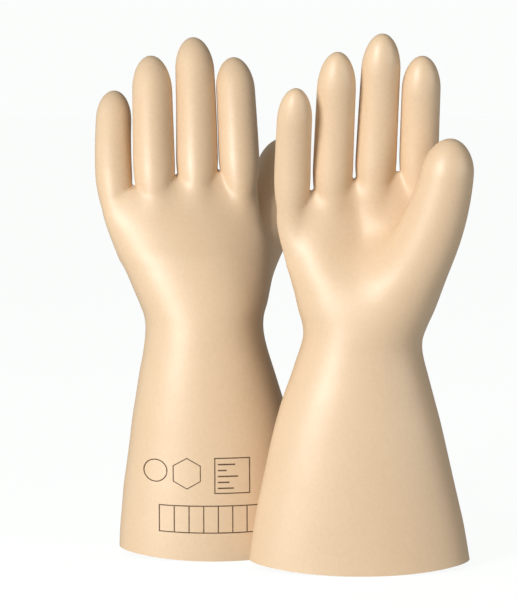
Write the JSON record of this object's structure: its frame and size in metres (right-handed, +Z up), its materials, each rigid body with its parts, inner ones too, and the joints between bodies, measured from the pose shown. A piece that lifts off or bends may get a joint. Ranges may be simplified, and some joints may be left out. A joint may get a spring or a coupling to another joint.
{
  "type": "electrical insulating gloves",
  "caption": "Pair of long-cuff natural rubber insulating gloves standing upright on open flared cuffs, with bending wrists, fingers and thumbs and a stamped date grid.",
  "frame": {"origin": "middle of the pair's outer box, on the floor that the cuffs stand on", "axes": "+Z up along the gloves from cuffs to fingertips; -Y towards a viewer who sees the right glove's palm and the left glove's back; +X to that viewer's right"},
  "size_m": [0.2568, 0.1776, 0.3607],
  "materials": {
    "natural_rubber": "satin",
    "stamp_ink": "matte"
  },
  "bodies": {
    "left_gauntlet": {"left_gauntlet": "natural_rubber", "left_date_grid_print": "stamp_ink", "left_hexagon_print": "stamp_ink", "left_panel_print": "stamp_ink", "left_ring_print": "stamp_ink"},
    "left_hand": {"left_hand": "natural_rubber"},
    "left_index_base": {"left_index_base": "natural_rubber"},
    "left_index_tip": {"left_index_tip": "natural_rubber"},
    "left_little_base": {"left_little_base": "natural_rubber"},
    "left_little_tip": {"left_little_tip": "natural_rubber"},
    "left_middle_base": {"left_middle_base": "natural_rubber"},
    "left_middle_tip": {"left_middle_tip": "natural_rubber"},
    "left_ring_base": {"left_ring_base": "natural_rubber"},
    "left_ring_tip": {"left_ring_tip": "natural_rubber"},
    "left_thumb_base": {"left_thumb_base": "natural_rubber"},
    "left_thumb_tip": {"left_thumb_tip": "natural_rubber"},
    "right_gauntlet": {"right_gauntlet": "natural_rubber"},
    "right_hand": {"right_hand": "natural_rubber"},
    "right_index_base": {"right_index_base": "natural_rubber"},
    "right_index_tip": {"right_index_tip": "natural_rubber"},
    "right_little_base": {"right_little_base": "natural_rubber"},
    "right_little_tip": {"right_little_tip": "natural_rubber"},
    "right_middle_base": {"right_middle_base": "natural_rubber"},
    "right_middle_tip": {"right_middle_tip": "natural_rubber"},
    "right_ring_base": {"right_ring_base": "natural_rubber"},
    "right_ring_tip": {"right_ring_tip": "natural_rubber"},
    "right_thumb_base": {"right_thumb_base": "natural_rubber"},
    "right_thumb_tip": {"right_thumb_tip": "natural_rubber"}
  },
  "joints": [
    {"name": "right_glove_lift", "type": "slide", "parent": "left_gauntlet", "child": "right_gauntlet", "axis": [0, 0, 1], "range_m": [0, 0.4]},
    {"name": "left_wrist", "type": "hinge", "parent": "left_gauntlet", "child": "left_hand", "pos_m": [-0.05681, 0.02029, 0.157], "axis": [0.9882, 0.1389, 0.0639], "range_deg": [-35, 25], "stiffness_Nm_per_rad": 1.6},
    {"name": "left_thumb_root", "type": "hinge", "parent": "left_hand", "child": "left_thumb_base", "pos_m": [-0.01107, 0.06251, 0.2393], "axis": [0.2251, 0.8739, -0.4309], "range_deg": [-25, 0], "stiffness_Nm_per_rad": 0.25},
    {"name": "left_thumb_knuckle", "type": "hinge", "parent": "left_thumb_base", "child": "left_thumb_tip", "pos_m": [-0.00454, 0.07003, 0.26078], "axis": [0.2349, 0.9119, -0.3364], "range_deg": [-45, 0], "stiffness_Nm_per_rad": 0.12},
    {"name": "left_index_root", "type": "hinge", "parent": "left_hand", "child": "left_index_base", "pos_m": [-0.03274, 0.03271, 0.282], "axis": [-0.9903, -0.1392, -0.0015], "range_deg": [0, 35], "stiffness_Nm_per_rad": 0.12},
    {"name": "left_index_knuckle", "type": "hinge", "parent": "left_index_base", "child": "left_index_tip", "pos_m": [-0.03381, 0.03999, 0.30846], "axis": [-0.9903, -0.1392, -0.0015], "range_deg": [0, 40], "stiffness_Nm_per_rad": 0.06},
    {"name": "left_middle_root", "type": "hinge", "parent": "left_hand", "child": "left_middle_base", "pos_m": [-0.06069, 0.02763, 0.28], "axis": [-0.9902, -0.1392, 0.0104], "range_deg": [0, 55], "stiffness_Nm_per_rad": 0.12},
    {"name": "left_middle_knuckle", "type": "hinge", "parent": "left_middle_base", "child": "left_middle_tip", "pos_m": [-0.06152, 0.03605, 0.3136], "axis": [-0.9902, -0.1392, 0.0104], "range_deg": [0, 65], "stiffness_Nm_per_rad": 0.06},
    {"name": "left_ring_root", "type": "hinge", "parent": "left_hand", "child": "left_ring_base", "pos_m": [-0.08928, 0.02513, 0.274], "axis": [-0.9903, -0.1392, 0.0044], "range_deg": [0, 55], "stiffness_Nm_per_rad": 0.12},
    {"name": "left_ring_knuckle", "type": "hinge", "parent": "left_ring_base", "child": "left_ring_tip", "pos_m": [-0.09032, 0.03346, 0.30466], "axis": [-0.9903, -0.1392, 0.0044], "range_deg": [0, 65], "stiffness_Nm_per_rad": 0.06},
    {"name": "left_little_root", "type": "hinge", "parent": "left_hand", "child": "left_little_base", "pos_m": [-0.11524, 0.02655, 0.269], "axis": [-0.9903, -0.1392, 0.0013], "range_deg": [0, 55], "stiffness_Nm_per_rad": 0.12},
    {"name": "left_little_knuckle", "type": "hinge", "parent": "left_little_base", "child": "left_little_tip", "pos_m": [-0.11643, 0.03521, 0.29168], "axis": [-0.9903, -0.1392, 0.0013], "range_deg": [0, 65], "stiffness_Nm_per_rad": 0.06},
    {"name": "right_wrist", "type": "hinge", "parent": "right_gauntlet", "child": "right_hand", "pos_m": [0.05455, -0.0304, 0.157], "axis": [0.9986, 0.0523, 0], "range_deg": [-25, 35], "stiffness_Nm_per_rad": 1.6},
    {"name": "right_thumb_root", "type": "hinge", "parent": "right_hand", "child": "right_thumb_base", "pos_m": [0.10283, -0.06394, 0.24355], "axis": [-0.3933, 0.8267, 0.4024], "range_deg": [-25, 0], "stiffness_Nm_per_rad": 0.25},
    {"name": "right_thumb_knuckle", "type": "hinge", "parent": "right_thumb_base", "child": "right_thumb_tip", "pos_m": [0.10824, -0.0704, 0.26474], "axis": [-0.4077, 0.857, 0.3153], "range_deg": [-45, 0], "stiffness_Nm_per_rad": 0.12},
    {"name": "right_index_root", "type": "hinge", "parent": "right_hand", "child": "right_index_base", "pos_m": [0.09186, -0.03741, 0.282], "axis": [0.9986, 0.0523, -0.0096], "range_deg": [0, 35], "stiffness_Nm_per_rad": 0.12},
    {"name": "right_index_knuckle", "type": "hinge", "parent": "right_index_base", "child": "right_index_tip", "pos_m": [0.0925, -0.04475, 0.30846], "axis": [0.9986, 0.0523, -0.0096], "range_deg": [0, 40], "stiffness_Nm_per_rad": 0.06},
    {"name": "right_middle_root", "type": "hinge", "parent": "right_hand", "child": "right_middle_base", "pos_m": [0.06363, -0.03775, 0.28], "axis": [0.9982, 0.0523, -0.0289], "range_deg": [0, 55], "stiffness_Nm_per_rad": 0.12},
    {"name": "right_middle_knuckle", "type": "hinge", "parent": "right_middle_base", "child": "right_middle_tip", "pos_m": [0.06504, -0.04614, 0.3136], "axis": [0.9982, 0.0523, -0.0289], "range_deg": [0, 65], "stiffness_Nm_per_rad": 0.06},
    {"name": "right_ring_root", "type": "hinge", "parent": "right_hand", "child": "right_ring_base", "pos_m": [0.03459, -0.04078, 0.274], "axis": [0.9984, 0.0523, -0.0202], "range_deg": [0, 55], "stiffness_Nm_per_rad": 0.12},
    {"name": "right_ring_knuckle", "type": "hinge", "parent": "right_ring_base", "child": "right_ring_tip", "pos_m": [0.03565, -0.04913, 0.30466], "axis": [0.9984, 0.0523, -0.0202], "range_deg": [0, 65], "stiffness_Nm_per_rad": 0.06},
    {"name": "right_little_root", "type": "hinge", "parent": "right_hand", "child": "right_little_base", "pos_m": [0.00867, -0.04716, 0.269], "axis": [0.9986, 0.0523, -0.0074], "range_deg": [0, 55], "stiffness_Nm_per_rad": 0.12},
    {"name": "right_little_knuckle", "type": "hinge", "parent": "right_little_base", "child": "right_little_tip", "pos_m": [0.00929, -0.05589, 0.29168], "axis": [0.9986, 0.0523, -0.0074], "range_deg": [0, 65], "stiffness_Nm_per_rad": 0.06}
  ]
}
